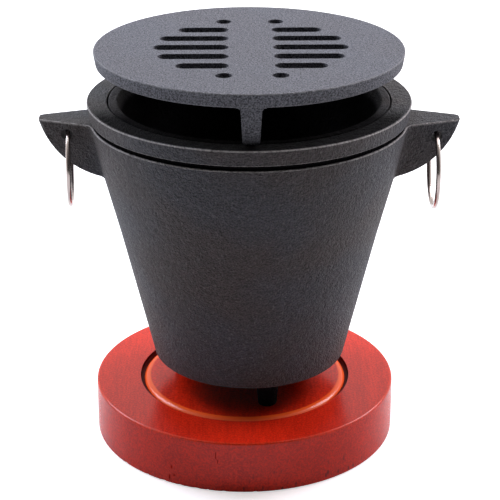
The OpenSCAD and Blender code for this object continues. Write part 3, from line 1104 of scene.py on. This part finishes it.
@dataclass
class Collar:
    """The cast ring in the pot's mouth: a wide rim, a seat on the lip and a spigot inside."""

    top_d: float = 157.6
    lip_gap: float = 2.2
    seat_d: float = 151.0
    bore_d: float = 137.8
    ledge_d: float = 130.4
    ledge_t: float = 3.4
    flange_t: float = 4.0
    spigot_gap: float = 0.5
    spigot_t: float = 2.6
    rim_w: float = 1.5          # width of the rim that is rubbed bare

    def build(self) -> None:
        """Turns the collar and lays it down."""
        low, high = node_box("collar_ring")
        _, pot_high = node_box("pot")
        pot = Pot()
        lip_z, lip_r = pot_high.z, pot.lip_d / 2
        spigot_top = lip_r - pot.wall - self.spigot_gap
        spigot_low = spigot_top - (lip_z - low.z) * pot.slope(lip_z)
        ledge_z, skirt_z = high.z - self.flange_t, lip_z + self.lip_gap
        ring = turned([
            Corner(self.bore_d / 2, high.z, 0.5), Corner(self.bore_d / 2, ledge_z, 0.4),
            Corner(self.ledge_d / 2, ledge_z, 0.4), Corner(self.ledge_d / 2, ledge_z - self.ledge_t, 0.4),
            Corner(spigot_low - self.spigot_t, lip_z, 1), Corner(spigot_low - self.spigot_t, low.z, 0.8),
            Corner(spigot_low, low.z, 0.8), Corner(spigot_top, lip_z), Corner(self.seat_d / 2, lip_z),
            Corner(self.seat_d / 2, skirt_z, 0.4), Corner(lip_r + 0.1, skirt_z, 0.6),
            Corner(self.top_d / 2, high.z, 0.6, 5), Corner(self.top_d / 2 - self.rim_w, high.z),
            Corner(self.bore_d / 2 + self.rim_w, high.z)], closed=True)
        top_r = self.top_d / 2 - self.rim_w + WELD
        skirt_band = 0.2

        def soot_and_shade(place: Vector) -> float | None:
            """Says that the collar is sooty below its skirt, and paints shade on its top towards the front.
            """
            if place.z < skirt_z + skirt_band:
                return -1.0
            return painted_front_shade(place) if math.hypot(place.x, place.y) < top_r else None

        lay_down("collar_casting", ring, POT_IRON, "collar", "collar_ring", soot_and_shade)


@dataclass
class FireBowl:
    """The bowl that holds the charcoal, hung by its flange in the collar."""

    flange_t: float = 4.0
    mouth_d: float = 127.6
    mouth_edge: float = 1.2     # height of the mouth's round edge, which isn't black all round
    neck_r: float = 64.6
    neck_h: float = 4.0
    floor_d: float = 92.0
    floor_z: float = 122.0
    wall: float = 3.4
    hole_d: float = 70.0

    def build(self) -> None:
        """Turns the bowl and lays it down."""
        _, high = node_box("fire_bowl")
        ledge_z = high.z - self.flange_t
        neck_z = ledge_z - self.neck_h
        floor_r, under_z = self.floor_d / 2, self.floor_z - self.wall
        bowl = turned([
            Corner(self.mouth_d / 2, high.z, 1.6), Corner(self.neck_r - self.wall, neck_z, 6, 8),
            Corner(floor_r, self.floor_z, 2), Corner(self.hole_d / 2, self.floor_z, 0.8),
            Corner(self.hole_d / 2, under_z, 0.8), Corner(floor_r + self.wall * 0.6, under_z, 8, 8),
            Corner(self.neck_r, neck_z, 2), Corner(self.neck_r, ledge_z),
            Corner(high.x, ledge_z, 0.4), Corner(high.x, high.z, 0.6)], closed=True)
        mouth_r, black_z = self.mouth_d / 2, high.z - self.mouth_edge

        def soot_and_shade(place: Vector) -> float | None:
            """Says that the bowl is sooty inside its mouth, and paints shade on its flange towards the
            front.
            """
            if place.z < black_z and math.hypot(place.x, place.y) < mouth_r:
                return -1.0
            return painted_front_shade(place)

        lay_down("fire_bowl_casting", bowl, BURNT_IRON, "bowl", "fire_bowl", soot_and_shade)


def slot_outline(start: float, end: float, middle: float, width: float) -> list[Corner]:
    """Draws a slot with round ends that runs from left to right.

    Args:
        start: where it starts, in millimetres.
        end: where it ends.
        middle: how far behind the middle its own middle lies.
        width: its width.

    Returns:
        The outline's corners.
    """
    half, quarter, steps = width / 2, math.pi / 2, 12
    return [*arc(Vector((end - half, middle)), half, -quarter, quarter, steps),
            *arc(Vector((start + half, middle)), half, quarter, 3 * quarter, steps)]


@dataclass
class FireGrate:
    """The loose slotted disc on the bowl's floor that carries the charcoal."""

    slots: int = 7
    slot_w: float = 5.0
    pitch: float = 10.0
    border: float = 7.0
    edge: float = 0.5
    steps: int = 96             # faces round it

    def build(self) -> None:
        """Cuts the grate's slots and lays it down."""
        low, high = node_box("fire_grate")
        disc = turned([Corner(0, low.z), Corner(high.x, low.z, 0.6), Corner(high.x, high.z, 0.6),
                       Corner(0, high.z)], steps=self.steps)
        cutters = []
        for i in range(self.slots):
            middle = (i - (self.slots - 1) / 2) * self.pitch
            half = math.sqrt((high.x - self.border) ** 2 - middle ** 2)
            cutters.append(slab(slot_outline(-half, half, middle, self.slot_w), Plane.TOP,
                                high.z - low.z + 2 * SPARE, low.z - SPARE))
        disc = combined(disc, gathered(cutters), Cut.REMOVE)
        ease_edges(disc, self.edge)
        lay_down("fire_grate_casting", disc, BURNT_IRON, "grate", "fire_grate", lambda place: -1.0)


@dataclass
class GrillPlate:
    """The slotted plate on three legs that the food goes on."""

    thickness: float = 6.8
    draft: float = 1.1
    edge: float = 0.8
    slot_edge: float = 0.35
    slot_w: float = 8.4
    pitch: float = 15.3
    band_half: float = 10.6
    slot_ends: tuple[float, float, float] = (47.0, 44.2, 35.4)      # from the middle row outwards
    hole_d: float = 7.8
    hole_x: float = 13.0
    hole_sides: int = 32
    rim_w: float = 3.0          # width of the outermost band, in which the outer edges lie
    pattern_x: float = 0.8      # how far the slots and holes sit to the right of the middle
    pattern_y: float = -0.6     # and behind it
    turned_by: float = 0.8      # degrees that the plate stands turned
    leg_angles: tuple[float, float, float] = (-90, 30, 150)         # degrees round from the right
    leg_inset: float = 0.2
    leg_top_w: float = 9.7
    leg_foot_w: float = 7.8
    leg_lean: float = 3.0
    leg_top_t: float = 9.0
    leg_foot_t: float = 6.4
    leg_edge: float = 0.9
    leg_bedded: float = 1.0     # how far a leg reaches into the plate
    flare: float = 2.0

    def leg(self, radius: float, foot_z: float, under: float) -> Shape:
        """Builds the leg on the right, which the others are turned copies of.

        Args:
            radius: the plate's radius.
            foot_z: the height that the leg stands on.
            under: the height of the plate's underside.

        Returns:
            A closed solid in millimetres.
        """
        top, free_z = under + self.leg_bedded, under - 0.5
        half, foot = self.leg_top_w / 2, self.leg_foot_w / 2
        face, foot_x = radius - self.draft - self.leg_inset, radius - self.leg_lean
        back = radius - self.leg_top_t
        side = [Corner(face, top), Corner(face, under), Corner(foot_x, foot_z, 2.5),
                Corner(foot_x - self.leg_foot_t, foot_z, 1), Corner(back, under, self.flare, 6),
                Corner(back - self.flare, under), Corner(back - self.flare, top)]
        front = [Corner(half + self.flare, top), Corner(half + self.flare, under),
                 Corner(half, under, self.flare, 6), Corner(foot, foot_z, 2.5, 6),
                 Corner(-foot, foot_z, 2.5, 6), Corner(-half, under, self.flare, 6),
                 Corner(-half - self.flare, under), Corner(-half - self.flare, top)]
        across = slab(front, Plane.FRONT, radius, -radius)
        turn(across, 90)
        leg = combined(slab(side, Plane.FRONT, 4 * half, -2 * half), across, Cut.CROSS)
        ease_edges(leg, self.leg_edge, where=lambda place: place.z < free_z)
        return leg

    def cutters(self, under: float) -> Shape:
        """Makes the cutters of the slots and the round holes.

        Args:
            under: the height of the plate's underside.

        Returns:
            One solid for each slot and hole, in one mesh.
        """
        depth, start, solids = self.thickness + 2 * SPARE, under - SPARE, []
        hole_row = len(self.slot_ends)
        for side in Side:
            for row in range(1 - hole_row, hole_row):
                span = sorted((side.value * self.band_half, side.value * self.slot_ends[abs(row)]))
                outline = slot_outline(*span, row * self.pitch, self.slot_w)
                solids.append(slab(outline, Plane.TOP, depth, start))
            for row in (-hole_row, hole_row):
                spot = Vector((side.value * self.hole_x, row * self.pitch, start))
                solids.append(rod(spot, spot + Vector((0, 0, depth)), self.hole_d, self.hole_d,
                                  self.hole_sides))
        bm = gathered(solids)
        bmesh.ops.translate(bm, vec=(self.pattern_x, self.pattern_y, 0), verts=bm.verts[:])
        return bm

    def build(self) -> None:
        """Cuts the plate, stands it on its legs and lays it down."""
        low, high = node_box("grill_plate")
        radius, under = high.x, high.z - self.thickness
        rim_r = radius - self.rim_w
        plate = turned([Corner(0, under), Corner(radius - self.draft, under), Corner(radius, high.z),
                        Corner(0, high.z)])
        plate = combined(plate, self.cutters(under), Cut.REMOVE)
        ease_edges(plate, self.edge, 4, where=lambda place: math.hypot(place.x, place.y) > rim_r)
        ease_edges(plate, self.slot_edge, 2)
        legs = [self.leg(radius, low.z, under) for _ in self.leg_angles]
        for leg, angle in zip(legs, self.leg_angles):
            turn(leg, angle)
        plate = combined(plate, gathered(legs), Cut.JOIN)
        turn(plate, self.turned_by)
        slots_r, top_z = max(self.slot_ends) + self.pitch, high.z - self.edge / 2
        # Below its top and inside the slotted area the plate is sooty, and that black also paints the shade
        # in the slots and under the plate.
        lay_down("grill_plate_casting", plate, PLATE_IRON, "plate", "grill_plate",
                 lambda place: -1.0 if place.z < top_z and math.hypot(place.x, place.y) < slots_r else None)


@dataclass
class CarryingRing:
    """One of the two wire rings that hang in the ears."""

    side: Side
    wire_d: float = 2.4
    wire_sides: int = 24
    steps: int = 120            # faces round the ring
    left_turn: float = 4.0      # degrees that the left ring hangs turned about the vertical
    right_turn: float = 1.0     # and the right one

    def build(self) -> None:
        """Bends the ring and lays it down."""
        name = self.side.name.lower()
        low, high = node_box(f"{name}_ring")
        mean_r = (high.z - low.z - self.wire_d) / 2
        wire = bmesh.new()
        bmesh.ops.create_circle(wire, segments=self.wire_sides, radius=self.wire_d / 2,
                                matrix=Matrix.Translation((0, mean_r, 0)))
        ring = spun(wire, Vector((1, 0, 0)), self.steps)
        turn(ring, self.left_turn if self.side is Side.LEFT else self.right_turn)
        bmesh.ops.translate(ring, vec=(low + high) / 2, verts=ring.verts[:])
        lay_down(f"{name}_carrying_ring", ring, BRIGHT_NICKEL, f"ring_{name}", f"{name}_ring")


# --- Studio -----------------------------------------------------------------------------


@dataclass
class Studio:
    """The camera, the pale floor and the soft light of a product photograph."""

    camera_x: float = 0.0004
    camera_y: float = -0.7858
    camera_z: float = 0.4283
    camera_down: float = 22.97      # degrees that the camera looks down
    camera_near: float = 0.05       # metres in front of the camera at which the picture starts
    sensor: float = 36.0
    lens: float = 122.04
    floor_half: float = 3.0

    def camera(self) -> None:
        """Stands the camera in front of the brazier, at the photograph's angle."""
        data = bpy.data.cameras.new("camera")
        data.sensor_width = self.sensor
        data.lens = self.lens
        data.clip_start = self.camera_near
        camera = bpy.data.objects.new("camera", data)
        camera.location = (self.camera_x, self.camera_y, self.camera_z)
        camera.rotation_euler = (math.radians(90 - self.camera_down), 0, 0)
        bpy.context.scene.collection.objects.link(camera)
        bpy.context.scene.camera = camera

    def floor(self) -> None:
        """Lays a white floor that keeps the brazier's shadow."""
        bm = bmesh.new()
        bmesh.ops.create_grid(bm, x_segments=1, y_segments=1, size=self.floor_half)
        mesh = bpy.data.meshes.new("floor")
        bm.to_mesh(mesh)
        bm.free()
        material = bpy.data.materials.new("white_paper")
        material.use_nodes = True
        tree = material.node_tree
        tree.nodes.clear()
        ray = add_node(tree, "ShaderNodeLightPath")
        white = add_node(tree, "ShaderNodeMapRange", {"To Min": 0.9, "To Max": 0.75},
                         {"Value": ray.outputs["Is Diffuse Ray"]})
        paper = add_node(tree, "ShaderNodeBsdfDiffuse", links={"Color": white.outputs[0]})
        seen = add_node(tree, "ShaderNodeMath", {"operation": "MAXIMUM"},
                        {0: ray.outputs["Is Camera Ray"], 1: ray.outputs["Is Transmission Ray"]})
        lift = add_node(tree, "ShaderNodeMath", {"operation": "MULTIPLY", 1: 0.5}, {0: seen.outputs[0]})
        glow = add_node(tree, "ShaderNodeEmission", {"Color": (1, 1, 1, 1)}, {"Strength": lift.outputs[0]})
        both = add_node(tree, "ShaderNodeAddShader", links={0: paper.outputs[0], 1: glow.outputs[0]})
        add_node(tree, "ShaderNodeOutputMaterial", links={"Surface": both.outputs[0]})
        mesh.materials.append(material)
        floor = bpy.data.objects.new("floor", mesh)
        bpy.context.scene.collection.objects.link(floor)

    def lamp(self, name: str, place: Vector, size: float, power: float, tint: str) -> None:
        """Hangs a square soft box that faces the brazier.

        Args:
            name: the lamp's name.
            place: where it hangs, in metres.
            size: its side, in metres.
            power: its power, in watts.
            tint: its colour.
        """
        data = bpy.data.lights.new(name, "AREA")
        data.size = size
        data.energy = power
        data.color = colour(tint)[:3]
        lamp = bpy.data.objects.new(name, data)
        lamp.location = place
        lamp.rotation_euler = (Vector((0, 0, 0.1)) - place).to_track_quat("-Z", "Y").to_euler()
        bpy.context.scene.collection.objects.link(lamp)

    def world(self) -> None:
        """Surrounds the brazier with white that is darker on the camera's side."""
        world = bpy.data.worlds.new("studio")
        bpy.context.scene.world = world
        world.use_nodes = True
        tree = world.node_tree
        tree.nodes.clear()
        way = add_node(tree, "ShaderNodeTexCoord").outputs["Generated"]
        parts = add_node(tree, "ShaderNodeSeparateXYZ", links={"Vector": way})
        aside = add_node(tree, "ShaderNodeMath", {"operation": "ABSOLUTE"}, {0: parts.outputs["X"]})
        walls = add_node(tree, "ShaderNodeMath", {"operation": "MULTIPLY_ADD", 1: 0.5},
                         {0: aside.outputs[0], 2: parts.outputs["Y"]})
        mirrored = add_node(tree, "ShaderNodeMapRange",
                            {"From Min": -0.6, "From Max": 0.3, "To Min": 0.04, "To Max": 1.0},
                            {"Value": walls.outputs[0]})
        around = add_node(tree, "ShaderNodeMapRange",
                          {"From Min": -0.15, "From Max": 0.65, "To Min": 0.02, "To Max": 1.5},
                          {"Value": walls.outputs[0]})
        above = add_node(tree, "ShaderNodeMapRange", {"From Min": 0.25, "From Max": 0.6, "To Min": 0.02},
                         {"Value": parts.outputs["Z"]})
        spread = add_node(tree, "ShaderNodeMath", {"operation": "MULTIPLY"},
                          {0: around.outputs[0], 1: above.outputs[0]})
        ray = add_node(tree, "ShaderNodeLightPath")
        glossy = add_node(tree, "ShaderNodeMix", {"data_type": "FLOAT"},
                          {"Factor": ray.outputs["Is Glossy Ray"], "A": spread.outputs[0],
                           "B": mirrored.outputs[0]})
        seen = add_node(tree, "ShaderNodeMath", {"operation": "MAXIMUM"},
                        {0: ray.outputs["Is Camera Ray"], 1: ray.outputs["Is Transmission Ray"]})
        strength = add_node(tree, "ShaderNodeMix", {"data_type": "FLOAT", "B": 1.0},
                            {"Factor": seen.outputs[0], "A": glossy.outputs[0]})
        sky = add_node(tree, "ShaderNodeBackground", {"Color": (1, 1, 1, 1)},
                       {"Strength": strength.outputs[0]})
        add_node(tree, "ShaderNodeOutputWorld", links={"Surface": sky.outputs[0]})

    def build(self) -> None:
        """Sets up the whole studio."""
        self.camera()
        self.floor()
        self.world()
        self.lamp("left_softbox", Vector((-1.05, 0.6, 1.0)), size=0.7, power=17.5, tint="#e6edff")
        self.lamp("right_softbox", Vector((1.05, 0.6, 1.0)), size=0.7, power=16.8, tint="#fbf5ff")
        self.lamp("top_softbox", Vector((0, 0.4, 1.4)), size=1.1, power=5, tint="#f8f9ff")
        bpy.context.scene.view_settings.view_transform = "Standard"


def main() -> None:
    """Builds the studio and the brazier's pieces, from the base up."""
    logging.basicConfig(level=logging.INFO, format="%(name)s %(message)s")
    Studio().build()
    TurnedBase().build()
    Pot().build()
    Collar().build()
    FireBowl().build()
    FireGrate().build()
    GrillPlate().build()
    for side in Side:
        CarryingRing(side).build()


if __name__ == "__main__":
    main()
